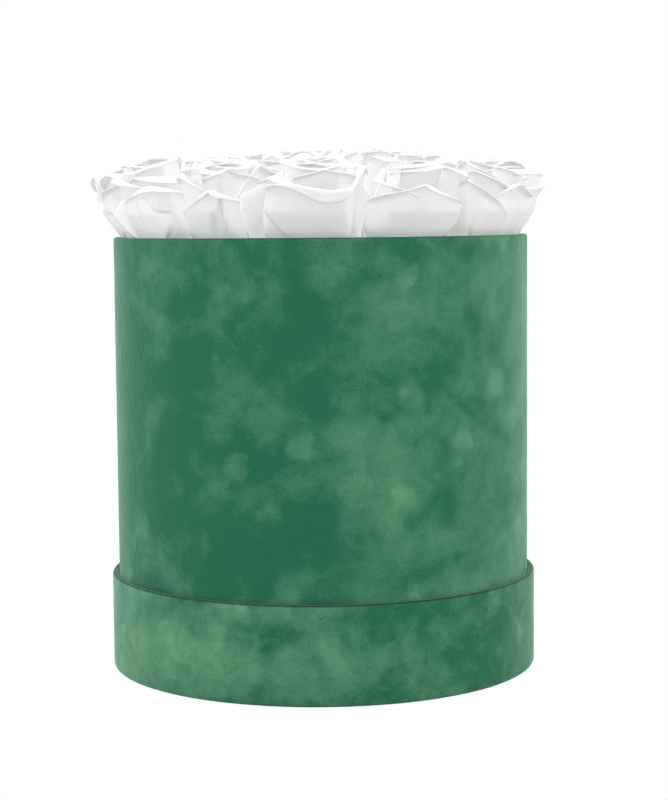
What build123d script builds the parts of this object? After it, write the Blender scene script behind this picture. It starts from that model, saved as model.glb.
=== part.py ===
from build123d import *

# A round flower box: a velvet-covered board tube that stands in its own upturned lid and holds
# nineteen preserved roses on short stems, pushed into a disc of dry floral foam.
#
# Units are millimetres. The origin is the centre of the lid's outer face, which rests on the
# table, and +Z points up through the roses. -Y is the front of the box.

import os
from math import cos, radians, sin

OUT = "parts"

# ---------------------------------------------------------------- driving dimensions

BOX_DIAMETER = 200.0      # over the velvet
RIM_HEIGHT = 208.0        # from the table to the top of the rim, box standing in the lid
LID_DIAMETER = 206.6      # over the velvet
LID_HEIGHT = 46.0

BOARD = 2.0               # greyboard of the box wall, the two bases and the shelf
LID_BOARD = 1.5           # greyboard of the lid's ring
VELVET = 0.7              # pile and backing, glued down
PAPER = 0.3               # lining paper
EDGE_ROUND = 1.4          # how round the velvet runs over a board edge

BOX_TURN_IN = 18.0        # velvet turned over the rim and glued inside
LID_TURN_IN = 12.0
BASE_TURN = 12.0          # velvet turned under each base
GLUE_GAP = 0.1            # butt joints and slip fits inside one glued body
SLIP_FIT = 0.3            # round the shelf, the foam and the petals in the box's mouth

SHELF_HEIGHT = 132.0      # top of the false floor that carries the foam
FOAM_THICKNESS = 50.0
CROSS_BOARD = 3.0         # the two slotted boards that hold the shelf up
CROSS_INSET = 2.0         # how far their ends stop short of the shelf's edge

STEM_RADIUS = 2.2
STEM_IN_FOAM = 34.0
STEM_CLEARANCE = 0.2      # round the stem, in the hole that it has pressed
HOLE_DEEPER = 2.0         # how far that hole goes on past the stem's tip
HIP_RADIUS = 5.5          # the green swelling under the petals
HIP_HEIGHT = 9.0
HIP_SWELL = 4.0           # height at which the hip has nearly its full width
HIP_LAP = 1.0             # how far it reaches down over the stem
NECK_OVER_FOAM = 9.5      # bare stem that shows between the foam and the hip
HEAD_RADIUS = 25.6
HEAD_HEIGHT = 48.0
HEAD_WIDEST = 0.56        # where the head is widest, as a share of its height
HEAD_LIP_RADIUS = 16.0    # edge of the shallow bowl on top
HEAD_BOWL_RADIUS = 11.0
HEAD_BOWL_DEPTH = 2.5
ROSE_GAP = 0.6            # between two pressed roses
ROSE_OVER_FOAM = 1.0      # least height of any petal over the foam
ROSE_OVERHANG = 10.3      # how far the outer roses reach past the box's side
OVERHANG_RISE = 25.0      # height of that widest place over the rim
RIM_CLEARANCE = 0.5       # between the rim and the petals that lie out over it
RIM_REST = 1.0            # how far inside the box's side they leave the rim

# Each ring of roses: how many, distance of the stems from the middle, angle of the first rose,
# outward lean of the heads in degrees, and how much lower the heads sit than the middle one.
RINGS = [
    (1, 0.0, 0.0, 0.0, 0.0),
    (6, 43.0, 15.0, 4.0, 1.5),
    (12, 80.0, 0.0, 10.0, 4.0),
]
# Hand-set unevenness, one value a rose in the order in which they are placed: lift in
# millimetres, and turn round the ring in degrees.
LIFTS = [
    1.0,
    0.0, -1.5, 1.5, -0.5, 1.0, 1.5,
    0.0, -1.0, 1.0, 0.5, -1.0, 0.0, -1.0, 0.5, -0.5, 0.5, 1.5, -1.0,
]
TURNS = [
    0.0,
    1.5, -1.0, 0.5, 1.0, -1.0, 0.0,
    -1.0, 0.5, 1.0, -1.5, 0.5, 1.0, -0.5, 0.5, 0.0, -1.0, 1.0, -0.5,
]

# ---------------------------------------------------------------- sizes that follow

box_radius = BOX_DIAMETER / 2
wall_outer = box_radius - VELVET
wall_inner = wall_outer - BOARD
lining_inner = wall_inner - PAPER
turn_in_inner = wall_inner - VELVET

lid_radius = LID_DIAMETER / 2
ring_outer = lid_radius - VELVET
ring_inner = ring_outer - LID_BOARD

lid_board_bottom = VELVET
lid_board_top = lid_board_bottom + BOARD
box_bottom = lid_board_top + PAPER            # the box stands on the lid's lining
base_bottom = box_bottom + VELVET
base_top = base_bottom + BOARD
floor_top = base_top + PAPER

foam_top = SHELF_HEIGHT + FOAM_THICKNESS
stem_tip = foam_top - STEM_IN_FOAM
neck_height = foam_top + NECK_OVER_FOAM
insert_radius = lining_inner - SLIP_FIT


# ---------------------------------------------------------------- shared shapes

def band(r_in, r_out, z_low, z_high):
    """A rectangle in the XZ half plane: the section of a ring or, from radius 0, of a disc."""
    corner = ((r_in + r_out) / 2, (z_low + z_high) / 2)
    return Pos(*corner) * Rectangle(r_out - r_in, z_high - z_low)


def spun(section):
    """A section in the sketch plane, stood up on XZ and turned once round Z."""
    return revolve(Plane.XZ * section, Axis.Z)


def rounded(section, radius, *corners):
    """The section with the named corners rounded."""
    near = [section.vertices().sort_by_distance((x, y, 0))[0] for x, y in corners]
    return fillet(near, radius)


def disc(radius, z_low, z_high):
    """A flat round plate."""
    return Pos(0, 0, z_low) * extrude(Circle(radius), z_high - z_low)


def rounded_ring(r_in, r_out, z_low, z_high, *corners):
    """A board ring whose named corners are eased to carry the velvet round them."""
    return spun(rounded(band(r_in, r_out, z_low, z_high), EDGE_ROUND - VELVET, *corners))


def sleeve(outer, board_inner, bottom, top, turn_in, turn_under):
    """Velvet glued round a board ring: up the outside, over the edge, down the inside, and
    turned under at the other end. One thickness everywhere."""
    inside = board_inner - VELVET
    section = (
        band(outer - VELVET, outer, bottom, top)
        + band(inside, outer, top - VELVET, top)
        + band(inside, board_inner, top - turn_in, top)
        + band(outer - turn_under, outer, bottom, bottom + VELVET)
    )
    section = rounded(section, EDGE_ROUND, (outer, top), (inside, top), (outer, bottom))
    under = (outer - VELVET, bottom + VELVET)
    section = rounded(section, EDGE_ROUND - VELVET, under, (outer - VELVET, top - VELVET))
    section = rounded(section, EDGE_ROUND - VELVET, (board_inner, top - VELVET))
    return spun(section)


# ---------------------------------------------------------------- lid, used as the foot

def make_lid():
    """The upturned lid: board ring and disc, velvet on the side and face, paper inside."""
    wall = rounded_ring(
        ring_inner, ring_outer, lid_board_bottom, LID_HEIGHT - VELVET,
        (ring_outer, lid_board_bottom), (ring_outer, LID_HEIGHT - VELVET),
        (ring_inner, LID_HEIGHT - VELVET),
    )
    lining_top = LID_HEIGHT - LID_TURN_IN - GLUE_GAP
    return {
        "lid_ring_board": wall,
        "lid_disc_board": disc(ring_inner - GLUE_GAP, lid_board_bottom, lid_board_top),
        "lid_side_velvet": sleeve(lid_radius, ring_inner, 0, LID_HEIGHT, LID_TURN_IN, BASE_TURN),
        "lid_face_velvet": disc(lid_radius - BASE_TURN - GLUE_GAP, 0, VELVET),
        "lid_side_lining": spun(band(ring_inner - PAPER, ring_inner, box_bottom, lining_top)),
        "lid_disc_lining": disc(ring_inner - GLUE_GAP, lid_board_top, box_bottom),
    }


# ---------------------------------------------------------------- box

def make_box():
    """The box itself: board tube and base, velvet sleeve, base paper and paper lining."""
    wall = rounded_ring(
        wall_inner, wall_outer, base_bottom, RIM_HEIGHT - VELVET,
        (wall_outer, base_bottom), (wall_outer, RIM_HEIGHT - VELVET),
        (wall_inner, RIM_HEIGHT - VELVET),
    )
    velvet = sleeve(box_radius, wall_inner, box_bottom, RIM_HEIGHT, BOX_TURN_IN, BASE_TURN)
    lining_top = RIM_HEIGHT - BOX_TURN_IN - GLUE_GAP
    return {
        "box_wall_board": wall,
        "box_base_board": disc(wall_inner - GLUE_GAP, base_bottom, base_top),
        "box_side_velvet": velvet,
        "box_base_paper": disc(box_radius - BASE_TURN - GLUE_GAP, box_bottom, base_bottom),
        "box_side_lining": spun(band(lining_inner, wall_inner, floor_top, lining_top)),
        "box_floor_lining": disc(wall_inner - GLUE_GAP, base_top, floor_top),
    }


# ---------------------------------------------------------------- foam and what holds it up

def make_insert(stem_places):
    """Two half-lapped cross boards, the shelf on them, and the foam disc with a hole a stem."""
    height = SHELF_HEIGHT - BOARD - floor_top
    width = 2 * (insert_radius - CROSS_INSET)
    plate = Pos(0, 0, floor_top + height / 2) * Box(width, CROSS_BOARD, height)
    slot = Box(CROSS_BOARD + 2 * GLUE_GAP, 2 * CROSS_BOARD, height / 2 + GLUE_GAP)
    upper = Pos(0, 0, floor_top + height * 3 / 4) * slot
    lower = Pos(0, 0, floor_top + height / 4) * slot
    foam = disc(insert_radius, SHELF_HEIGHT, foam_top)
    depth = STEM_IN_FOAM + HOLE_DEEPER
    for x, y in stem_places:
        foam -= Pos(x, y, foam_top - depth) * extrude(Circle(STEM_RADIUS + STEM_CLEARANCE), depth)
    return {
        "cross_board_lengthwise": plate - upper,
        "cross_board_crosswise": Rot(0, 0, 90) * (plate - lower),
        "shelf_board": disc(insert_radius, SHELF_HEIGHT - BOARD, SHELF_HEIGHT),
        "foam_disc": foam,
    }


# ---------------------------------------------------------------- roses

def rose_places():
    """Where each rose stands: its stem's place, its neck height, and which way and how far its
    head leans, from the middle rose outward."""
    places = []
    for count, distance, first, lean, drop in RINGS:
        for k in range(count):
            n = len(places)
            angle = first + 360 / count * k + TURNS[n]
            x, y = distance * cos(radians(angle)), distance * sin(radians(angle))
            places.append((x, y, neck_height - drop + LIFTS[n], angle, lean))
    return places


def head_middle(place):
    """The plan position of a rose's widest place, which leans out past its stem."""
    x, y, _, angle, lean = place
    reach = (HIP_HEIGHT + HEAD_WIDEST * HEAD_HEIGHT) * sin(radians(lean))
    return x + reach * cos(radians(angle)), y + reach * sin(radians(angle))


def clipped(polygon, middle, normal):
    """The part of a convex polygon behind the line through middle across normal."""
    def side(p):
        return (p[0] - middle[0]) * normal[0] + (p[1] - middle[1]) * normal[1]

    kept = []
    for a, b in zip(polygon, polygon[1:] + polygon[:1]):
        if side(a) <= 0:
            kept.append(a)
        if side(a) * side(b) < 0:
            share = side(a) / (side(a) - side(b))
            kept.append((a[0] + share * (b[0] - a[0]), a[1] + share * (b[1] - a[1])))
    return kept


def room(centre, others):
    """The upright prism that a rose keeps to: all that is nearer to it than to any neighbour,
    less half the gap."""
    x, y = centre
    reach = 2 * HEAD_RADIUS
    polygon = [(x + a * reach, y + b * reach) for a, b in ((-1, -1), (1, -1), (1, 1), (-1, 1))]
    for ox, oy in others:
        length = ((ox - x) ** 2 + (oy - y) ** 2) ** 0.5
        if length < 3 * HEAD_RADIUS:
            normal = ((ox - x) / length, (oy - y) / length)
            share = 0.5 - ROSE_GAP / 2 / length
            middle = (x + share * (ox - x), y + share * (oy - y))
            polygon = clipped(polygon, middle, normal)
    low = foam_top + ROSE_OVER_FOAM
    return Pos(0, 0, low) * extrude(make_face(Polyline(*polygon, close=True)), 2 * HEAD_HEIGHT)


def bouquet_envelope():
    """What all the heads stay inside: the box's mouth up to the rim, then an outward flare, and
    a low dome over the top."""
    mouth = turn_in_inner - SLIP_FIT
    bottom = foam_top + ROSE_OVER_FOAM
    rest = (box_radius - RIM_REST, RIM_HEIGHT + RIM_CLEARANCE)
    widest = (box_radius + ROSE_OVERHANG, RIM_HEIGHT + OVERHANG_RISE)
    bow = (box_radius + 0.63 * ROSE_OVERHANG, RIM_HEIGHT + 0.44 * OVERHANG_RISE)
    top = RIM_HEIGHT + 2 * HEAD_HEIGHT
    outline = [
        Line((0, bottom), (mouth, bottom)),
        Line((mouth, bottom), (mouth, rest[1])),
        Line((mouth, rest[1]), rest),
        ThreePointArc(rest, bow, widest),
        Line(widest, (widest[0], top)),
        Line((widest[0], top), (0, top)),
        Line((0, top), (0, bottom)),
    ]
    return spun(make_face(outline))


def head_body():
    """A rose head on its own axis: a cup that swells from the hip to the rolled outer petals,
    closed by a shallow bowl."""
    seat = (HIP_RADIUS, 0)
    underside = (0.74 * HEAD_RADIUS, HEAD_HEIGHT / 6)
    widest = (HEAD_RADIUS, HEAD_WIDEST * HEAD_HEIGHT)
    shoulder = (0.945 * HEAD_RADIUS, 0.8 * HEAD_HEIGHT)
    lip = (HEAD_LIP_RADIUS, HEAD_HEIGHT)
    bowl = (HEAD_BOWL_RADIUS, HEAD_HEIGHT - HEAD_BOWL_DEPTH)
    outline = [
        Line((0, 0), seat),
        ThreePointArc(seat, underside, widest),
        ThreePointArc(widest, shoulder, lip),
        Line(lip, bowl),
        Line(bowl, (0, bowl[1])),
        Line((0, bowl[1]), (0, 0)),
    ]
    return spun(make_face(outline))


def hip_body():
    """The hip: from the stem's thickness out to the flat seat under the petals."""
    foot = (STEM_RADIUS, -HIP_LAP)
    seat = (HIP_RADIUS, HIP_HEIGHT)
    outline = [
        Line((0, -HIP_LAP), foot),
        ThreePointArc(foot, (0.9 * HIP_RADIUS, HIP_SWELL), seat),
        Line(seat, (0, HIP_HEIGHT)),
        Line((0, HIP_HEIGHT), (0, -HIP_LAP)),
    ]
    return spun(make_face(outline))


def make_roses(places):
    """Each rose as two pieces that stand in one another: the petals, and the hip with its stem."""
    envelope, head, hip = bouquet_envelope(), head_body(), hip_body()
    middles = [head_middle(place) for place in places]
    nodes = {}
    for n, (x, y, neck, angle, lean) in enumerate(places):
        others = middles[:n] + middles[n + 1:]
        set_up = Pos(x, y, neck) * Rot(0, 0, angle) * Rot(0, lean, 0)
        petals = set_up * Pos(0, 0, HIP_HEIGHT) * head
        stem = Pos(x, y, stem_tip) * extrude(Circle(STEM_RADIUS), neck - stem_tip)
        name = f"rose_{n + 1:02d}"
        nodes[name + "_head"] = petals & room(middles[n], others) & envelope
        nodes[name + "_stem"] = stem + set_up * hip
    return nodes


# ---------------------------------------------------------------- everything

def main():
    os.makedirs(OUT, exist_ok=True)
    places = rose_places()
    nodes = {
        **make_lid(),
        **make_box(),
        **make_insert([(x, y) for x, y, *_ in places]),
        **make_roses(places),
    }
    for name, shape in nodes.items():
        export_step(shape, os.path.join(OUT, name + ".step"))


main()
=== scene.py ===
import bpy
import numpy as np
from mathutils import Matrix, Vector


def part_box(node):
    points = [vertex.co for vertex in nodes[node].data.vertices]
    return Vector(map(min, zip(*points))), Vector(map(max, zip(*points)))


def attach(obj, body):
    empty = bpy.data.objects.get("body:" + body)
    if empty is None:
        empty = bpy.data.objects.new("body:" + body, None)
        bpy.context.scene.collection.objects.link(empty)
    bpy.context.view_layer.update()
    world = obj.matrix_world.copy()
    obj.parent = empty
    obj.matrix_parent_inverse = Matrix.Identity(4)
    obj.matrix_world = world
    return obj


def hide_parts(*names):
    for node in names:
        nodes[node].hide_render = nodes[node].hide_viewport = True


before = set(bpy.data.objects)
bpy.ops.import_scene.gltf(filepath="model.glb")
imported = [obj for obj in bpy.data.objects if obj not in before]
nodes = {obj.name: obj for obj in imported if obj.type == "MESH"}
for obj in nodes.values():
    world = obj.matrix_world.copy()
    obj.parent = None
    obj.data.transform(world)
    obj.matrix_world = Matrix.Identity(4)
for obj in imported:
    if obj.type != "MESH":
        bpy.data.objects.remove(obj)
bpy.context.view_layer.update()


# ------------------------------------------------------------------ the viewpoint
# A camera just under a metre from the box and level with its rim, on a long lens. It looks a
# little down and a little to the right of the box's axis, and is tipped half a degree.
CAMERA_AWAY = 0.9631
CAMERA_HEIGHT = 0.2184
CAMERA_LENS = 88.9
LOOK_DOWN = np.radians(5.39)
LOOK_RIGHT = np.radians(0.35)
TIPPED = np.radians(0.5)

camera = bpy.data.objects.new("camera", bpy.data.cameras.new("camera"))
bpy.context.scene.collection.objects.link(camera)
camera.data.lens = CAMERA_LENS
camera.data.clip_end = 20.0
camera.matrix_world = (
    Matrix.Translation((0.0, -CAMERA_AWAY, CAMERA_HEIGHT))
    @ Matrix.Rotation(-LOOK_RIGHT, 4, "Z")
    @ Matrix.Rotation(np.pi / 2 - LOOK_DOWN, 4, "X")
    @ Matrix.Rotation(-TIPPED, 4, "Z")
)
bpy.context.scene.camera = camera


# ------------------------------------------------------------------ lid: the board
# The lid stands closed face down and carries the box. Its ring is a strip of greyboard bent
# round and glued edge to edge on a greyboard disc; the board is grey recycled pulp with flecks.
GREYBOARD = (0.36, 0.33, 0.28, 1.0)
GREYBOARD_DARK = (0.21, 0.19, 0.16, 1.0)


def feed(tree, socket, value):
    """A value set on the socket, or linked to it where it is another node's output."""
    if isinstance(value, bpy.types.NodeSocket):
        tree.links.new(value, socket)
    else:
        socket.default_value = value


def add_node(tree, kind, settings=None, **values):
    """A shader node in the tree. settings are its own choices, and values feed its sockets."""
    made = tree.nodes.new(kind)
    for name, value in (settings or {}).items():
        setattr(made, name, value)
    for name, value in values.items():
        feed(tree, made.inputs[name.replace("_", " ")], value)
    return made


def reckon(tree, operation, *values, **settings):
    """The result of one sum on values or node outputs."""
    made = add_node(tree, "ShaderNodeMath", {"operation": operation, **settings})
    for socket, value in zip(made.inputs, values):
        feed(tree, socket, value)
    return made.outputs[0]


def ramped(tree, value, low, high):
    """A smooth ramp from 0 where the value is low to 1 where it is high."""
    made = add_node(tree, "ShaderNodeMapRange", {"interpolation_type": "SMOOTHSTEP"},
                    Value=value, From_Min=low, From_Max=high)
    return made.outputs["Result"]


def new_group(name, takes, gives):
    """An empty shader node group with those named sockets, and its input and output nodes."""
    tree = bpy.data.node_groups.new(name, "ShaderNodeTree")
    for label, kind, value in takes:
        socket = tree.interface.new_socket(name=label, in_out="INPUT", socket_type=kind)
        if value is not None:
            socket.default_value = value
    for label, kind in gives:
        tree.interface.new_socket(name=label, in_out="OUTPUT", socket_type=kind)
    return tree, tree.nodes.new("NodeGroupInput").outputs, tree.nodes.new("NodeGroupOutput").inputs


def blotches_group():
    """Soft uneven patches in three sizes, each under half as strong and about a third as wide as
    the last, drawn to a mask whose middle is at 0.5."""
    tree, takes, gives = new_group(
        "blotches",
        [("Vector", "NodeSocketVector", None), ("Size", "NodeSocketFloat", 0.03),
         ("Contrast", "NodeSocketFloat", 2.0)],
        [("Mask", "NodeSocketFloat")],
    )
    across = reckon(tree, "DIVIDE", 1.0, takes["Size"])
    total = 0.0
    for finer, share, distortion in ((1.0, 0.60, 0.4), (2.7, 0.28, 0.7), (7.5, 0.12, 1.0)):
        noise = add_node(tree, "ShaderNodeTexNoise", Vector=takes["Vector"],
                         Scale=reckon(tree, "MULTIPLY", across, finer),
                         Detail=2.0, Roughness=0.5, Distortion=distortion)
        total = reckon(tree, "MULTIPLY_ADD", noise.outputs["Fac"], share, total)
    centred = reckon(tree, "SUBTRACT", total, 0.5)
    stronger = reckon(tree, "MULTIPLY_ADD", centred, takes["Contrast"], 0.5, use_clamp=True)
    tree.links.new(stronger, gives["Mask"])
    return tree


BLOTCHES = blotches_group()


def place_group(tree, group, **values):
    """That node group placed in a material, with its own values."""
    return add_node(tree, "ShaderNodeGroup", {"node_tree": group}, **values)


def new_material(name, **shader_values):
    """A material whose Principled shader has those constant values, and its node tree."""
    made = bpy.data.materials.new(name)
    made.use_nodes = True
    tree = made.node_tree
    shader = tree.nodes["Principled BSDF"]
    for label, value in shader_values.items():
        shader.inputs[label.replace("_", " ")].default_value = value
    return made, tree, shader


def mixed(tree, mask, low, high):
    """A colour that goes from low to high with the mask."""
    made = add_node(tree, "ShaderNodeMix", {"data_type": "RGBA"}, Factor=mask)
    feed(tree, made.inputs[6], low)
    feed(tree, made.inputs[7], high)
    return made.outputs[2]


def bump_of(tree, shader, height, depth):
    """A bump that many metres deep, fed to the shader's normal."""
    made = add_node(tree, "ShaderNodeBump", Height=height, Distance=depth, Strength=1.0)
    tree.links.new(made.outputs["Normal"], shader.inputs["Normal"])


def pulp_material(name, pale, dark, fleck_size, bump):
    """Pressed pulp: soft blotches, fine flecks and a slightly rough face."""
    made, tree, shader = new_material(name, Roughness=0.9, Specular_IOR_Level=0.2)
    place = add_node(tree, "ShaderNodeTexCoord").outputs["Object"]
    clouds = place_group(tree, BLOTCHES, Vector=place, Size=0.02, Contrast=1.6)
    flecks = add_node(tree, "ShaderNodeTexNoise", Vector=place, Scale=1.0 / fleck_size,
                      Detail=3.0, Roughness=0.7)
    soft = mixed(tree, clouds.outputs["Mask"], dark, pale)
    colour = mixed(tree, ramped(tree, flecks.outputs["Fac"], 0.36, 0.62), dark, soft)
    tree.links.new(colour, shader.inputs["Base Color"])
    bump_of(tree, shader, flecks.outputs["Fac"], bump)
    return made


def give_material(node, material):
    """The CAD node keeps its mesh and wears this material."""
    mesh = nodes[node].data
    mesh.materials.clear()
    mesh.materials.append(material)


greyboard = pulp_material("greyboard", GREYBOARD, GREYBOARD_DARK, 0.0012, 0.0001)
give_material("lid_ring_board", greyboard)
give_material("lid_disc_board", greyboard)


# ------------------------------------------------------------------ lid: the paper lining
# Ivory wood-free paper glued inside the ring and on the inside of the disc; the box stands on it.
IVORY = (0.80, 0.77, 0.69, 1.0)
IVORY_DEEP = (0.70, 0.665, 0.58, 1.0)

lining_paper = pulp_material("lining_paper", IVORY, IVORY_DEEP, 0.0007, 0.00003)
give_material("lid_side_lining", lining_paper)
give_material("lid_disc_lining", lining_paper)


# ------------------------------------------------------------------ lid: the velvet
# A strip of green crushed velvet goes once round the ring, over its edge and down inside, and
# is turned under the disc, where a round piece of the same velvet covers the cut edge.
VELVET = 0.0007
VELVET_SOLID = VELVET * 0.94
LID_BOARD = 0.0015
LID_TURN_IN = 0.012
TURN_UNDER = 0.012
EDGE_RADIUS = 0.0014
WRAP_OVERLAP = 0.009
WRAP_STEP = 0.003
WRAP_COLUMNS = 260
WAVINESS = 0.00005
PILE_DEEP = (0.0095, 0.124, 0.058, 1.0)
PILE_LIGHT = (0.168, 0.382, 0.226, 1.0)
PILE_SHEEN = (0.55, 0.95, 0.70, 1.0)
# The dark cloth under the pile; along the folds it also stands for painted shade of the gap.
PILE_GROUND_AND_GAP_SHADE = (0.002, 0.026, 0.013, 1.0)
SHEEN = 0.62
LIE_SHARE = 0.62
TUFT_SHARE = 0.50
TOUCH_SHARE = 0.22
# How far across the object the painted side light runs from dark to pale.
SIDE_LIGHT_REACH = 0.11
# Where the fold's dark band lies and how softly it fades; the band is partly painted shade of the
# gap.
FOLD_DARK_BAND = (0.0012, 0.0002)
FOLD_DARK_FADES = 0.0010


def grid_quads(points, start):
    """The four-sided faces of a grid of points whose first one has that number. They point to
    the right of the first index's way."""
    rows, columns = points.shape[:2]
    index = np.arange(rows * columns).reshape(rows, columns) + start
    quads = np.stack([index[:-1, :-1], index[1:, :-1], index[1:, 1:], index[:-1, 1:]], -1)
    return quads.reshape(-1, 4)


def grids_mesh(name, points, flat, quads):
    """A smooth object from points and faces, with each point's flat place in its UV map."""
    mesh = bpy.data.meshes.new(name)
    mesh.from_pydata(points, [], quads)
    corners = np.empty(len(mesh.loops), np.int64)
    mesh.loops.foreach_get("vertex_index", corners)
    layer = mesh.uv_layers.new(name="flat")
    layer.data.foreach_set("uv", flat[corners].astype(np.float32).ravel())
    mesh.shade_smooth()
    made = bpy.data.objects.new(name, mesh)
    bpy.context.scene.collection.objects.link(made)
    return made


def sheet_mesh(name, points, cloth):
    """One smooth object from a grid of points, whose UV map holds the flat cloth's own
    coordinates in metres."""
    return grids_mesh(name, points.reshape(-1, 3), cloth.reshape(-1, 2), grid_quads(points, 0))


def rounded_path(corners, radii, step):
    """The (radius, height) points of a strip's section: straight runs between the corners, each
    corner replaced by an arc of its radius, spaced about a step apart."""
    points = [np.array(corners[0])]
    for before, here, after, radius in zip(corners, corners[1:], corners[2:], radii):
        before, here, after = (np.array(p, float) for p in (before, here, after))
        come = (here - before) / np.linalg.norm(here - before)
        leave = (after - here) / np.linalg.norm(after - here)
        turn = np.arccos(np.clip(come @ leave, -1.0, 1.0))
        cut = radius * np.tan(turn / 2)
        side = np.sign(come[0] * leave[1] - come[1] * leave[0])
        centre = here - come * cut + side * radius * np.array([-come[1], come[0]])
        swing = np.linspace(0.0, turn, 7) * side
        spoke = (here - come * cut) - centre
        arc = np.stack([spoke[0] * np.cos(swing) - spoke[1] * np.sin(swing),
                        spoke[0] * np.sin(swing) + spoke[1] * np.cos(swing)], -1) + centre
        points.extend(arc)
    points.append(np.array(corners[-1], float))
    points = np.array(points)
    length = np.concatenate([[0.0], np.cumsum(np.linalg.norm(np.diff(points, axis=0), axis=1))])
    marks = np.unique(np.concatenate([length, np.arange(0.0, length[-1], step)]))
    marks = marks[np.concatenate([[True], np.diff(marks) > step * 0.08])]
    path = np.stack([np.interp(marks, length, points[:, k]) for k in (0, 1)], -1)
    return path, marks


def strip_path(inside, outside, low, high, turn_in):
    """The section of a strip that is turned in over the top edge, runs down the outside and is
    turned under the bottom, and how far along the strip each of its points is."""
    top, bottom = high.z - VELVET / 2, low.z + VELVET / 2
    corners = [(inside, high.z - turn_in), (inside, top), (outside, top), (outside, bottom),
               (outside - TURN_UNDER, bottom)]
    return rounded_path(corners, [EDGE_RADIUS - VELVET / 2] * 3, WRAP_STEP)


def wrap(name, path, marks, round_radius, seed):
    """A strip carried once round Z along the section path, starting and ending at the back,
    where its end lies over its start. The radius swells and dips a little, as glued cloth does:
    a sum of slow sines in angle and height. UV is (distance round, distance along the path)."""
    lap = WRAP_OVERLAP / round_radius
    turn = np.linspace(0.0, 2 * np.pi + lap, WRAP_COLUMNS)
    over = np.clip((turn - (2 * np.pi - lap)) / lap, 0.0, 1.0)
    over = over * over * (3 - 2 * over) * (VELVET * 1.05)
    draw = np.random.default_rng(seed)
    swell = np.zeros((WRAP_COLUMNS, len(path)))
    for waves in (3, 5, 8, 13, 21):
        phase, slope, tall = draw.uniform(0, 6.3), draw.uniform(-40, 40), draw.uniform(0, 6.3)
        swell += np.sin(waves * turn[:, None] + phase + slope * path[None, :, 1]) * np.sin(
            path[None, :, 1] * 900.0 / waves + tall) / np.sqrt(waves)
    along = np.gradient(path, axis=0)
    along /= np.linalg.norm(along, axis=1)[:, None]
    outward = np.stack([-along[:, 1], along[:, 0]], -1)
    outside = np.clip(outward[:, 0], 0.0, 1.0)
    swell = WAVINESS * swell + over[:, None] * outside[None, :]
    radius = path[None, :, 0] + swell * outward[None, :, 0]
    height = np.broadcast_to(path[None, :, 1] + swell * outward[None, :, 1], radius.shape)
    angle = turn[:, None] + np.pi / 2
    points = np.stack([radius * np.cos(angle), radius * np.sin(angle), height], -1)
    cloth = np.stack(np.broadcast_arrays(turn[:, None] * round_radius, marks[None, :]), -1)
    return sheet_mesh(name, points, cloth)


def give_thickness(piece, thickness):
    """Solidify half to each side, so that the sheet is a closed skin."""
    made = piece.modifiers.new("thickness", "SOLIDIFY")
    made.thickness = thickness
    made.offset = 0.0


def smudges_group():
    """Round fingertip-sized smudges with ragged edges, on a few of the cells of a wide net."""
    tree, takes, gives = new_group(
        "smudges", [("Vector", "NodeSocketVector", None)], [("Mask", "NodeSocketFloat")])
    ragged = add_node(tree, "ShaderNodeTexNoise", Vector=takes["Vector"], Scale=110.0, Detail=3.0)
    bent = add_node(tree, "ShaderNodeVectorMath", {"operation": "MULTIPLY_ADD"})
    tree.links.new(ragged.outputs["Color"], bent.inputs[0])
    bent.inputs[1].default_value = (0.014, 0.014, 0.0)
    tree.links.new(takes["Vector"], bent.inputs[2])
    cells = add_node(tree, "ShaderNodeTexVoronoi", {"voronoi_dimensions": "2D"},
                     Vector=bent.outputs["Vector"], Scale=38.0)
    tone = add_node(tree, "ShaderNodeSeparateColor", Color=cells.outputs["Color"])
    both = reckon(tree, "MULTIPLY", ramped(tree, cells.outputs["Distance"], 0.38, 0.12),
                  ramped(tree, tone.outputs["Red"], 0.45, 0.95))
    tree.links.new(both, gives["Mask"])
    return tree


SMUDGES = smudges_group()


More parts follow.
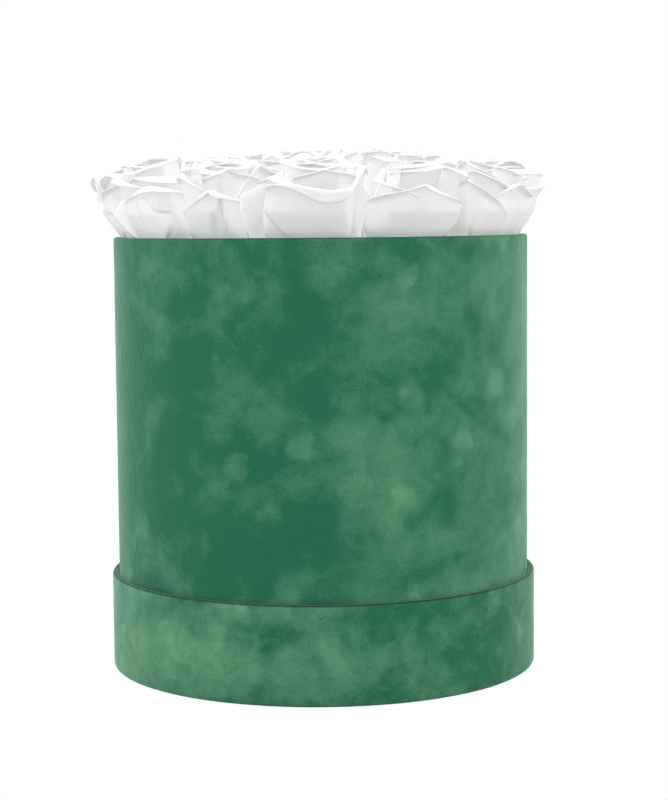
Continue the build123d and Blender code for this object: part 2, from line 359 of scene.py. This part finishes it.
def velvet_material(name, shift, patch, contrast, base, painted_side_light, fold):
    """Crushed velvet: the pile lies in patches, paler where it leans to the light and where it
    has been touched, over a fine grain of single tufts, with the soft sheen that pile has at
    its edges. Towards one side it is paler: painted light from that side. Along the fold, that
    far up the strip, a dark band: partly the dark cloth that shows where the pile opens, partly
    painted shade of the gap at the edge."""
    made, tree, shader = new_material(
        name, Roughness=0.85, Specular_IOR_Level=0.25, Sheen_Weight=SHEEN, Sheen_Roughness=0.38,
        Sheen_Tint=PILE_SHEEN)
    coordinates = add_node(tree, "ShaderNodeTexCoord").outputs
    flat = coordinates["UV"]
    place = add_node(tree, "ShaderNodeMapping", Vector=flat, Location=(shift, shift, 0)).outputs[0]
    lie = place_group(tree, BLOTCHES, Vector=place, Size=patch, Contrast=contrast).outputs["Mask"]
    tufts = add_node(tree, "ShaderNodeTexNoise", Vector=place, Scale=1400.0, Detail=2.0)
    tufts = tufts.outputs["Fac"]
    touched = place_group(tree, SMUDGES, Vector=place).outputs["Mask"]
    across = add_node(tree, "ShaderNodeSeparateXYZ", Vector=coordinates["Object"]).outputs["X"]
    # Painted light: the pile is made paler towards one side, as though lit from there.
    lit_side = np.sign(painted_side_light) * SIDE_LIGHT_REACH
    side = ramped(tree, across, -lit_side, lit_side)
    pile_and_side_light = base - abs(painted_side_light) / 2
    for mask, share in ((side, abs(painted_side_light)), (tufts, TUFT_SHARE), (lie, LIE_SHARE),
                        (touched, TOUCH_SHARE)):
        pile_and_side_light = reckon(tree, "MULTIPLY_ADD", mask, share, pile_and_side_light)

    # A dark band along the fold: partly the pile opening there, partly painted shade of the gap at
    # the lid's edge and the box's rim.
    up = add_node(tree, "ShaderNodeSeparateXYZ", Vector=flat).outputs["Y"]
    inside, outside = FOLD_DARK_BAND
    opened_and_gap_shade = reckon(tree, "MULTIPLY",
                    ramped(tree, up, fold - inside - FOLD_DARK_FADES, fold - inside),
                    ramped(tree, up, fold + outside + FOLD_DARK_FADES, fold + outside))
    pile = mixed(tree, pile_and_side_light, PILE_DEEP, PILE_LIGHT)
    feed(tree, shader.inputs["Base Color"], mixed(tree, opened_and_gap_shade, pile, PILE_GROUND_AND_GAP_SHADE))
    bump_of(tree, shader, reckon(tree, "MULTIPLY_ADD", tufts, 0.35, lie), 0.0005)
    return made


lid_low, lid_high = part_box("lid_side_velvet")
lid_radius = lid_high.x - VELVET / 2
lid_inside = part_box("lid_ring_board")[1].x - LID_BOARD - VELVET / 2
lid_path, lid_marks = strip_path(lid_inside, lid_radius, lid_low, lid_high, LID_TURN_IN)
lid_velvet = velvet_material("lid_velvet", shift=0.0, patch=0.026, contrast=3.0, base=-0.36,
                             painted_side_light=-0.34, fold=LID_TURN_IN + 0.0007)
lid_wrap = wrap("lid_side_wrap", lid_path, lid_marks, lid_radius, seed=5)
lid_wrap.data.materials.append(lid_velvet)
give_thickness(lid_wrap, VELVET_SOLID)
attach(lid_wrap, "lid")
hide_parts("lid_side_velvet")


def round_piece(name, radius, height, thickness, rings=24, spokes=121):
    """A flat round cloth, as rings of points round its middle. UV is its own flat plane, moved
    well away from where the strips' folds lie."""
    out = np.linspace(0.0, 1.0, rings)[:, None] * radius
    out[0] = radius * 0.0005
    turn = np.linspace(0.0, 2 * np.pi, spokes)[None, :]
    points = np.stack([out * np.cos(turn), out * np.sin(turn),
                       np.full((rings, spokes), height)], -1)
    made = sheet_mesh(name, points[:, ::-1], points[:, ::-1, :2] - 2 * radius)
    weld = made.modifiers.new("weld", "WELD")
    weld.merge_threshold = 0.0002
    give_thickness(made, thickness)
    return made


face_low, face_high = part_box("lid_face_velvet")
lid_face = round_piece("lid_face_round", face_high.x, (face_low.z + face_high.z) / 2,
                       face_high.z - face_low.z)
lid_face.data.materials.append(lid_velvet)
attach(lid_face, "lid")
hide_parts("lid_face_velvet")


# ------------------------------------------------------------------ box: board, lining and base
# The box's wall is a strip of greyboard bent round and glued on a greyboard disc. Ivory paper
# lines the wall and the floor, and a round of the same paper closes the underside.
for board in ("box_wall_board", "box_base_board"):
    give_material(board, greyboard)
for paper in ("box_side_lining", "box_floor_lining", "box_base_paper"):
    give_material(paper, lining_paper)


# ------------------------------------------------------------------ box: the velvet
# One strip of the same velvet goes round the wall, over the rim and 18 mm down the inside, and
# is turned under the base. Its ends lap at the back. The front is bare: it carries no print.
BOX_BOARD = 0.002
BOX_TURN_IN = 0.018

box_low, box_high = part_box("box_side_velvet")
box_radius = box_high.x - VELVET / 2
box_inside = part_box("box_wall_board")[1].x - BOX_BOARD - VELVET / 2
box_path, box_marks = strip_path(box_inside, box_radius, box_low, box_high, BOX_TURN_IN)
box_velvet = velvet_material("box_velvet", shift=0.4, patch=0.036, contrast=2.7, base=-0.45,
                             painted_side_light=0.20, fold=BOX_TURN_IN + 0.0010)
box_wrap = wrap("box_side_wrap", box_path, box_marks, box_radius, seed=9)
box_wrap.data.materials.append(box_velvet)
give_thickness(box_wrap, VELVET_SOLID)
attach(box_wrap, "box")
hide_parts("box_side_velvet")


# ------------------------------------------------------------------ insert: riser and foam
# Two slotted greyboards cross inside the box and carry a greyboard shelf. A disc of dry floral
# foam stands on the shelf: grey-green, with fine open cells that show on its cut face.
for board in ("cross_board_lengthwise", "cross_board_crosswise", "shelf_board"):
    give_material(board, greyboard)

FOAM = (0.23, 0.27, 0.17, 1.0)
FOAM_DARK_AND_CELL_SHADE = (0.12, 0.15, 0.09, 1.0)


def foam_material():
    """Dry foam: small round cells with painted shade in their hollow middles, in a matte
    grey-green.
    """
    made, tree, shader = new_material("dry_foam", Roughness=0.95, Specular_IOR_Level=0.1)
    place = add_node(tree, "ShaderNodeTexCoord").outputs["Object"]
    cells = add_node(tree, "ShaderNodeTexVoronoi", Vector=place, Scale=900.0)
    cell_wall = ramped(tree, cells.outputs["Distance"], 0.1, 0.5)
    clouds = place_group(tree, BLOTCHES, Vector=place, Size=0.015, Contrast=1.5)
    body = mixed(tree, clouds.outputs["Mask"], FOAM_DARK_AND_CELL_SHADE, FOAM)
    # Painted shade: the cells' hollow middles are darkened, where shade would fall.
    tree.links.new(mixed(tree, cell_wall, FOAM_DARK_AND_CELL_SHADE, body), shader.inputs["Base Color"])
    bump_of(tree, shader, cell_wall, 0.0003)
    return made


give_material("foam_disc", foam_material())


# ------------------------------------------------------------------ roses: where they stand
# Nineteen preserved roses: one in the middle, six round it and twelve along the rim. The outer
# ones lean out. Each has a room of its own, halfway to its neighbours, that its petals press to.
HIP_HEIGHT = 0.009
HIP_RADIUS = 0.0055
HEAD_HEIGHT = 0.048
INNER_LEAN = np.radians(4.0)
OUTER_LEAN = np.radians(8.0)
OUTER_RING = 0.06
INNER_RING = 0.02
ROOM_GAP = 0.0005
UNEVEN = 0.0015
SLANT = 0.5
OVERHANG = 0.22
OVERHANG_HEIGHT = 0.228
PRESS_POWER = 10.0
WIDEST_AT = [(0.0, 0.005), (0.005, 0.0152), (0.008, 0.0182), (0.012, 0.0210), (0.020, 0.0252),
             (0.030, 0.0288)]
MOUTH_SHAPE = [(0.2083, 0.0963), (0.2100, 0.0985), (0.2190, 0.1068), (0.2330, 0.1130)]

names = [name[:-5] for name in sorted(nodes) if name.endswith("_head")]


def stem_axis(name):
    """The plan position of the stem's axis: the middle of the stem's lowest points."""
    mesh = nodes[name + "_stem"].data
    points = np.empty(len(mesh.vertices) * 3, np.float32)
    mesh.vertices.foreach_get("co", points)
    points = points.reshape(-1, 3)
    tip = points[points[:, 2] < points[:, 2].min() + 0.0001]
    return (tip[:, :2].min(0) + tip[:, :2].max(0)) / 2


axes = np.array([stem_axis(name) for name in names])
away = np.linalg.norm(axes, axis=1)
outward = axes / np.maximum(away, 1e-6)[:, None]
lean = np.where(away > OUTER_RING, OUTER_LEAN, np.where(away > INNER_RING, INNER_LEAN, 0.0))
lean_middle = (HIP_HEIGHT + 0.6 * HEAD_HEIGHT) * np.sin(lean)
middles = axes + outward * lean_middle[:, None]


draw_rooms = np.random.default_rng(77)
own_share = draw_rooms.uniform(-UNEVEN, UNEVEN, len(names))
slant = np.triu(draw_rooms.choice([-SLANT, SLANT], (len(names), len(names))), 1)
slant = slant + slant.T
overhang = np.triu(draw_rooms.choice([-OVERHANG, OVERHANG], (len(names), len(names))), 1)
overhang = overhang - overhang.T


def room_reach(n, direction, height):
    """How far rose n may reach from its middle in each plan direction: to the plane between
    it and each neighbour, or to the mouth, a circle that opens out above the rim. A plane
    stands about halfway and slantwise, and leans over one of its two roses."""
    own = middles[n]
    others = [k for k in range(len(names)) if k != n]
    way = middles[others] - own
    apart = np.linalg.norm(way, axis=1)
    way = way / apart[:, None]
    cos, sin = np.cos(slant[n, others]), np.sin(slant[n, others])
    facing = np.stack([way[:, 0] * cos - way[:, 1] * sin, way[:, 0] * sin + way[:, 1] * cos], -1)
    off = (apart / 2 + (own_share[n] - own_share[others]) / 2) * cos - ROOM_GAP
    off = off[None, :] + overhang[n, others][None, :] * (height[:, None] - OVERHANG_HEIGHT)
    planes = np.maximum(off, 0.006) / np.maximum(direction @ facing.T, 1e-3)
    mouth = np.interp(height, *zip(*MOUTH_SHAPE))
    along = direction @ own
    circle = -along + np.sqrt(np.maximum(along ** 2 - own @ own + mouth ** 2, 1e-8))
    return np.minimum(planes.min(axis=1), circle)


def pressed_into_room(n, points):
    """Points moved towards rose n's middle in plan, the further out the more, so that the
    rose's widest reach meets its room's wall: r becomes r (1 - k r / widest), and then
    r / (1 + (r / wall)^10)^(1/10), which comes ever nearer to the wall and never meets it."""
    widest_at = np.interp(points[:, 2] - points[:, 2].min(), *zip(*WIDEST_AT))
    offset = points[:, :2] - middles[n]
    reach = np.linalg.norm(offset, axis=1)
    direction = offset / np.maximum(reach, 1e-6)[:, None]
    limit = room_reach(n, direction, points[:, 2])
    share = np.clip(1 - limit / widest_at, -0.3, 0.5)
    pressed = reach * (1 - share * np.minimum(reach / widest_at, 1.0))
    pressed = pressed / (1 + (pressed / limit) ** PRESS_POWER) ** (1 / PRESS_POWER)
    return np.column_stack([middles[n] + direction * pressed[:, None], points[:, 2]])


# ------------------------------------------------------------------ roses: stems
# A short cut stem and the round hip under the head; the sepals are cut away, as florists do
# before they set preserved roses in foam.
STEM_GREEN = (0.13, 0.20, 0.06, 1.0)
STEM_PALE = (0.26, 0.31, 0.12, 1.0)


def stem_material():
    """Woody green: fine lines along the stem and paler blotches."""
    made, tree, shader = new_material("rose_stem", Roughness=0.6, Specular_IOR_Level=0.3)
    place = add_node(tree, "ShaderNodeTexCoord").outputs["Object"]
    drawn = add_node(tree, "ShaderNodeMapping", Vector=place, Scale=(1500.0, 1500.0, 90.0))
    lines = add_node(tree, "ShaderNodeTexNoise", Vector=drawn.outputs["Vector"], Scale=1.0,
                     Detail=2.0)
    clouds = place_group(tree, BLOTCHES, Vector=place, Size=0.006, Contrast=2.0)
    body = mixed(tree, clouds.outputs["Mask"], STEM_GREEN, STEM_PALE)
    colour = mixed(tree, lines.outputs["Fac"], STEM_GREEN, body)
    tree.links.new(colour, shader.inputs["Base Color"])
    bump_of(tree, shader, lines.outputs["Fac"], 0.0002)
    return made


rose_stem = stem_material()
for name in names:
    give_material(name + "_stem", rose_stem)


# ------------------------------------------------------------------ roses: petals
# A preserved garden rose: petals set a golden angle apart on a spiral, from a tight bud out to
# broad soft outer ones whose brims are rolled back from the tip. Waxy white, faintly veined.
PETAL = 0.0005
PETALS = 18
GOLDEN_ANGLE = np.radians(137.5)
BUD_RADIUS = 0.0026
ROSE_RADIUS = 0.0215
BUD_TOP = 0.0458
OUTER_DROP = 0.0065
BUD_LIP = 0.0020
OUTER_LIP = 0.0095
HUNG_CHANCE = 0.35
HUNG_FROM = 0.3
HUNG_DROP = 0.0035
BUD_GRID = (21, 19)
OUTER_GRID = (35, 29)
FRONT_TURNS = {210: 60.0, 240: 18.0, 270: 0.0, 300: -30.0, 330: -84.0}
PETAL_WHITE = (0.78, 0.783, 0.78, 1.0)
PETAL_SHADE = (0.74, 0.745, 0.74, 1.0)


def cup_curve(radius, top, opening):
    """The section of one whorl's cup as a cubic Bezier from the hip out and up to its top, with
    a straight run past the top: points, their distance along, and their unit tangents."""
    ends = np.array([(0.0025, 0.0), (radius * 1.25, 0.0), (radius * 1.12, top * 0.6),
                     (radius * opening, top)])
    t = np.linspace(0.0, 1.0, 60)[:, None]
    curve = ((1 - t) ** 3 * ends[0] + 3 * (1 - t) ** 2 * t * ends[1]
             + 3 * (1 - t) * t ** 2 * ends[2] + t ** 3 * ends[3])
    last = curve[-1] - curve[-2]
    curve = np.vstack([curve, curve[-1] + last / np.linalg.norm(last) * 0.02])
    along = np.concatenate([[0.0], np.cumsum(np.linalg.norm(np.diff(curve, axis=0), axis=1))])
    tangent = np.gradient(curve, along, axis=0)
    tangent /= np.linalg.norm(tangent, axis=1)[:, None]
    return curve, along, tangent


def rolled(beyond, radius, turn):
    """A sheet that bends ever more past its fold, up to the whole turn: how far each distance
    beyond the fold comes along the sheet's plane, and how far off it."""
    run = np.linspace(0.0, 0.04, 400)
    share = np.clip(run / (radius * turn * 1.5), 0.0, 1.0)
    angle = turn * share * share * (3 - 2 * share)
    step = run[1]
    along = np.concatenate([[0.0], np.cumsum(np.cos(angle[:-1])) * step])
    off = np.concatenate([[0.0], np.cumsum(np.sin(angle[:-1])) * step])
    return np.interp(beyond, run, along), np.interp(beyond, run, off)


def folded(draw, out, half, tip, fall, sag, shoulder, hung, x, y):
    """The flat leaf's points rolled back past two sagging lines that fall to the left and right
    from its tip: where they come to lie along the leaf's plane, and how far off it. How far a
    point is past the folds is the soft maximum of how far it is past each, or the soft minimum
    where the brim is hung."""
    aside = x - tip[0]
    past = [(y - tip[1] + way * aside * fall[k] - sag[k] * aside ** 2 + shoulder * aside ** 4)
            * np.cos(fall[k]) for k, way in enumerate((-1.0, 1.0))]
    softness = 0.0004 + draw.uniform(0.0002, 0.0014) * out
    beyond = hung * softness * np.logaddexp(hung * past[0] / softness, hung * past[1] / softness)
    beyond = np.maximum(beyond - 0.3 * softness, 0.0)

    blend = softness + 0.6 * np.clip(np.maximum(past[0], past[1]), 0.0, None)
    weight = 1 / (1 + np.exp(np.clip(hung * (past[1] - past[0]) / blend, -40, 40)))[..., None]
    normals = np.array([(-np.sin(fall[0]), np.cos(fall[0])), (np.sin(fall[1]), np.cos(fall[1]))])
    way = weight * normals[0] + (1 - weight) * normals[1]
    way /= np.linalg.norm(way, axis=-1, keepdims=True)

    turn = (1.0 + 1.4 * out ** 0.6) * draw.uniform(0.82, 1.1)
    tight = (0.0007 + 0.0003 * out) * draw.uniform(0.8, 1.3)
    loose = np.minimum(np.abs(aside) / half, 1.0)
    forward, off = (near + (far - near) * loose for near, far in zip(
        rolled(beyond, tight, turn), rolled(beyond, tight * 1.5, turn)))
    return x + way[..., 0] * (forward - beyond), y + way[..., 1] * (forward - beyond), off


def rumples(draw, out, half, tip, u, v, x):
    """How far a petal's face stands off its smooth shape: slow waves, which are products of a
    sine across and a sine along, a crease up to the tip, and fine pleats low down."""
    soft = 0.0001 + 0.0007 * out
    off = 0.0
    for waves in (1.0, 1.7):
        phase = draw.uniform(0.0, 6.3, 2)
        off = off + 2.0 * soft / waves * v * np.sin(waves * 2.4 * u + phase[0]) * np.sin(
            waves * 2.8 * v + phase[1])
    crease = np.exp(-((x - tip[0] * v) / (0.14 * half)) ** 2)
    pleats = np.sin(9.0 * u + draw.uniform(0.0, 6.3)) * np.clip(1 - v / 0.7, 0.0, 1.0) * v
    return off + soft * (0.7 * crease * v ** 2 + 0.9 * pleats)


def petal(draw, out, facing, columns, rows):
    """One petal, from out = 0 at the rose's heart to 1 outermost. A flat broad leaf, u across
    and v from its foot to its brim, is folded back and rumpled, then bent round its own cup, one
    side a little further out than the other. hung is -1 where the brim sags between two corners
    and 1 where it rises to one tip."""
    radius = (BUD_RADIUS + (ROSE_RADIUS - BUD_RADIUS) * out ** 0.9) * draw.uniform(0.97, 1.03)
    span = 2.3 - 1.2 * out ** 0.6
    top = BUD_TOP - OUTER_DROP * (out ** 2 + out ** 5 * draw.uniform(0.0, 1.0))
    top *= 1 + (0.01 + 0.06 * out) * draw.uniform(-1.0, 1.0)
    curve, along, tangent = cup_curve(radius, top, 0.55 + 0.52 * out ** 0.6)
    half = radius * span * draw.uniform(0.92, 1.1)
    lip = BUD_LIP + OUTER_LIP * out ** 0.7 * draw.uniform(0.7, 1.2)
    tip = np.array([draw.uniform(-0.35, 0.35) * half, along[-2]])
    hung = -1.0 if draw.uniform() < HUNG_CHANCE and out > HUNG_FROM else 1.0
    if hung < 0:
        tip[1] -= HUNG_DROP
    fall = (0.15 + (0.04 if hung < 0 else 0.72) * out) * draw.uniform(0.6, 1.3, 2) * hung
    sag = np.abs(fall) * draw.uniform(0.3, 0.6, 2) / half
    shoulder = (0.14 if hung < 0 else 0.16) * out ** 0.5 / half ** 3

    rise = np.interp(np.linspace(0.0, 1.0, rows), [0.0, 0.42, 1.0], [0.0, 0.70, 1.0])
    u, v = np.meshgrid(np.linspace(-1.0, 1.0, columns), rise, indexing="ij")
    aside = u * half - tip[0]
    side = (aside > 0).astype(int)
    edge = tip[1] - np.abs(aside) * fall[side] + sag[side] * aside ** 2 - shoulder * aside ** 4
    brim = edge + lip * (1 - 0.55 * np.abs(u) ** 1.6) + 0.0006 * out * np.sin(4 * u + fall[0] * 40)
    wide = 0.22 + 0.78 * np.sin(np.pi / 2 * np.minimum(v / 0.85, 1.0)) - 0.08 * v ** 6
    x = u * half * wide
    y = brim * v

    flat_x, flat_y, off = folded(draw, out, half, tip, fall, sag, shoulder, hung, x, y)
    off = off + rumples(draw, out, half, tip, u, v, x)
    ring, height = (np.interp(flat_y, along, curve[:, k]) for k in (0, 1))
    lean_out, lean_up = (np.interp(flat_y, along, tangent[:, k]) for k in (0, 1))
    swing = flat_x / radius
    ring = (ring + off * lean_up) * (1 + 0.06 * out * np.minimum(np.abs(swing), 1.2) ** 2)
    ring = ring + (0.0004 + 0.0016 * out) * (u + 0.6 * u ** 4) * np.minimum(v * 2, 1.0)
    height = height - off * lean_out
    angle = facing + swing
    points = np.stack([ring * np.cos(angle), ring * np.sin(angle), height], -1)
    return points, np.stack([x, y], -1)


def rose_grids(n):
    """All of rose n's petals as grids of points about its own axis, from the bud outwards."""
    draw = np.random.default_rng(400 + n)
    facing = draw.uniform(0.0, 2 * np.pi)
    stands = 30 * round(np.degrees(np.arctan2(axes[n][1], axes[n][0])) / 30) % 360
    if away[n] > OUTER_RING and stands in FRONT_TURNS:
        facing = np.radians(stands + FRONT_TURNS[stands]) - GOLDEN_ANGLE * (PETALS - 1)
    grids = []
    for k in range(PETALS):
        grid = OUTER_GRID if k >= PETALS // 2 else BUD_GRID
        turned = facing + GOLDEN_ANGLE * k + draw.uniform(-0.15, 0.15)
        grids.append(petal(draw, k / (PETALS - 1), turned, *grid))
    return grids


def petal_material():
    """Preserved petal: waxy white, a little greyer in soft blotches, veined along its length.
    Its faint white glow is painted light, which lifts the shade between the petals.
    """
    made, tree, shader = new_material(
        "white_petals", Roughness=0.62, Specular_IOR_Level=0.3, Sheen_Weight=0.15,
        Subsurface_Weight=1.0, Subsurface_Radius=(1.0, 1.0, 1.0), Subsurface_Scale=0.0008,
        # The faint white emission is painted light: the petals glow a little to lift their shade.
        Emission_Color=(1.0, 1.0, 1.0, 1.0), Emission_Strength=0.04)
    flat = add_node(tree, "ShaderNodeTexCoord").outputs["UV"]
    drawn = add_node(tree, "ShaderNodeMapping", Vector=flat, Scale=(2200.0, 160.0, 1.0))
    veins = add_node(tree, "ShaderNodeTexNoise", Vector=drawn.outputs["Vector"], Scale=1.0,
                     Detail=2.0)
    clouds = place_group(tree, BLOTCHES, Vector=flat, Size=0.012, Contrast=1.4)
    body = mixed(tree, clouds.outputs["Mask"], PETAL_SHADE, PETAL_WHITE)
    colour = mixed(tree, veins.outputs["Fac"], body, PETAL_WHITE)
    tree.links.new(colour, shader.inputs["Base Color"])
    bump_of(tree, shader, veins.outputs["Fac"], 0.00008)
    return made


white_petals = petal_material()


def rose_head(n, name):
    """The petals of one rose in one mesh: leant out about its neck, set in its place, and
    pressed into its room."""
    low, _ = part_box(name + "_head")
    base = Vector((*axes[n], low.z + HIP_RADIUS * np.sin(lean[n])))
    base += Vector((*outward[n], 0.0)) * HIP_HEIGHT * np.sin(lean[n])
    side = Vector((-outward[n][1], outward[n][0], 0.0)) if lean[n] > 0 else Vector((1, 0, 0))
    tilt = np.array(Matrix.Rotation(lean[n], 3, side))
    vertices, faces, cloth, start = [], [], [], 0
    for points, flat in rose_grids(n):
        vertices.append(points.reshape(-1, 3))
        cloth.append(flat.reshape(-1, 2))
        faces.append(grid_quads(points, start))
        start += len(vertices[-1])
    placed = pressed_into_room(n, np.concatenate(vertices) @ tilt.T + np.array(base))
    made = grids_mesh(name + "_petals", placed, np.concatenate(cloth), np.concatenate(faces))
    made.data.materials.append(white_petals)
    give_thickness(made, PETAL)
    return made


for n, name in enumerate(names):
    head = rose_head(n, name)
    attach(head, name)
    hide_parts(name + "_head")


# ------------------------------------------------------------------ the table and the light
# A plain white table top that runs back out of sight, inside a white light tent: an even glow
# all round, and three large soft lights, over the viewer and high to the left and right.
TABLE_SIZE = 12.0
LIGHTS_AIM = (0.0, 0.0, 0.15)
STUDIO = 0.86


def camera_sees(tree, lights, seen, output):
    """The camera's own rays meet one shader, and the light that goes round meets the other."""
    either = tree.nodes.new("ShaderNodeMixShader")
    path = add_node(tree, "ShaderNodeLightPath")
    tree.links.new(path.outputs["Is Camera Ray"], either.inputs["Fac"])
    tree.links.new(lights, either.inputs[1])
    tree.links.new(seen, either.inputs[2])
    tree.links.new(either.outputs["Shader"], tree.nodes[output].inputs["Surface"])


def table_material():
    """Table paper, burnt out to plain white where the camera sees it."""
    made, tree, shader = new_material("table_white", Roughness=0.9, Specular_IOR_Level=0.0,
                                      Base_Color=(0.6, 0.6, 0.6, 1.0))
    burnt = add_node(tree, "ShaderNodeEmission", Strength=1.0)
    camera_sees(tree, shader.outputs["BSDF"], burnt.outputs["Emission"], "Material Output")
    return made


table_mesh = bpy.data.meshes.new("table")
half_table = TABLE_SIZE / 2
table_corners = [(x * half_table, y * half_table, 0)
                 for x, y in ((-1, -1), (1, -1), (1, 1), (-1, 1))]
table_mesh.from_pydata(table_corners, [], [(0, 1, 2, 3)])
table = bpy.data.objects.new("table", table_mesh)
bpy.context.scene.collection.objects.link(table)
table_mesh.materials.append(table_material())

world = bpy.data.worlds.new("studio")
world.use_nodes = True
sky = world.node_tree
lit = sky.nodes["Background"]
lit.inputs["Color"].default_value = (1.0, 1.0, 1.0, 1.0)
lit.inputs["Strength"].default_value = STUDIO
seen = add_node(sky, "ShaderNodeBackground", Strength=1.0, Color=(1.0, 1.0, 1.0, 1.0))
camera_sees(sky, lit.outputs["Background"], seen.outputs["Background"], "World Output")
bpy.context.scene.world = world


def soft_light(name, place, size, watts):
    """A square soft light that faces the box. Like the walls of a light tent, it leaves no
    shadow; what shade there is comes from the studio's own glow."""
    lamp = bpy.data.lights.new(name, "AREA")
    lamp.size = size
    lamp.energy = watts
    lamp.use_shadow = False
    made = bpy.data.objects.new(name, lamp)
    bpy.context.scene.collection.objects.link(made)
    made.location = place
    made.rotation_euler = (Vector(LIGHTS_AIM) - Vector(place)).to_track_quat("-Z", "Y").to_euler()


soft_light("front_light", (-0.05, -0.9, 1.0), 0.7, 4.1)
soft_light("left_light", (-1.1, -0.3, 0.75), 0.6, 3.7)
soft_light("right_light", (1.1, -0.3, 0.75), 0.6, 3.7)

bpy.context.scene.view_settings.view_transform = "Standard"
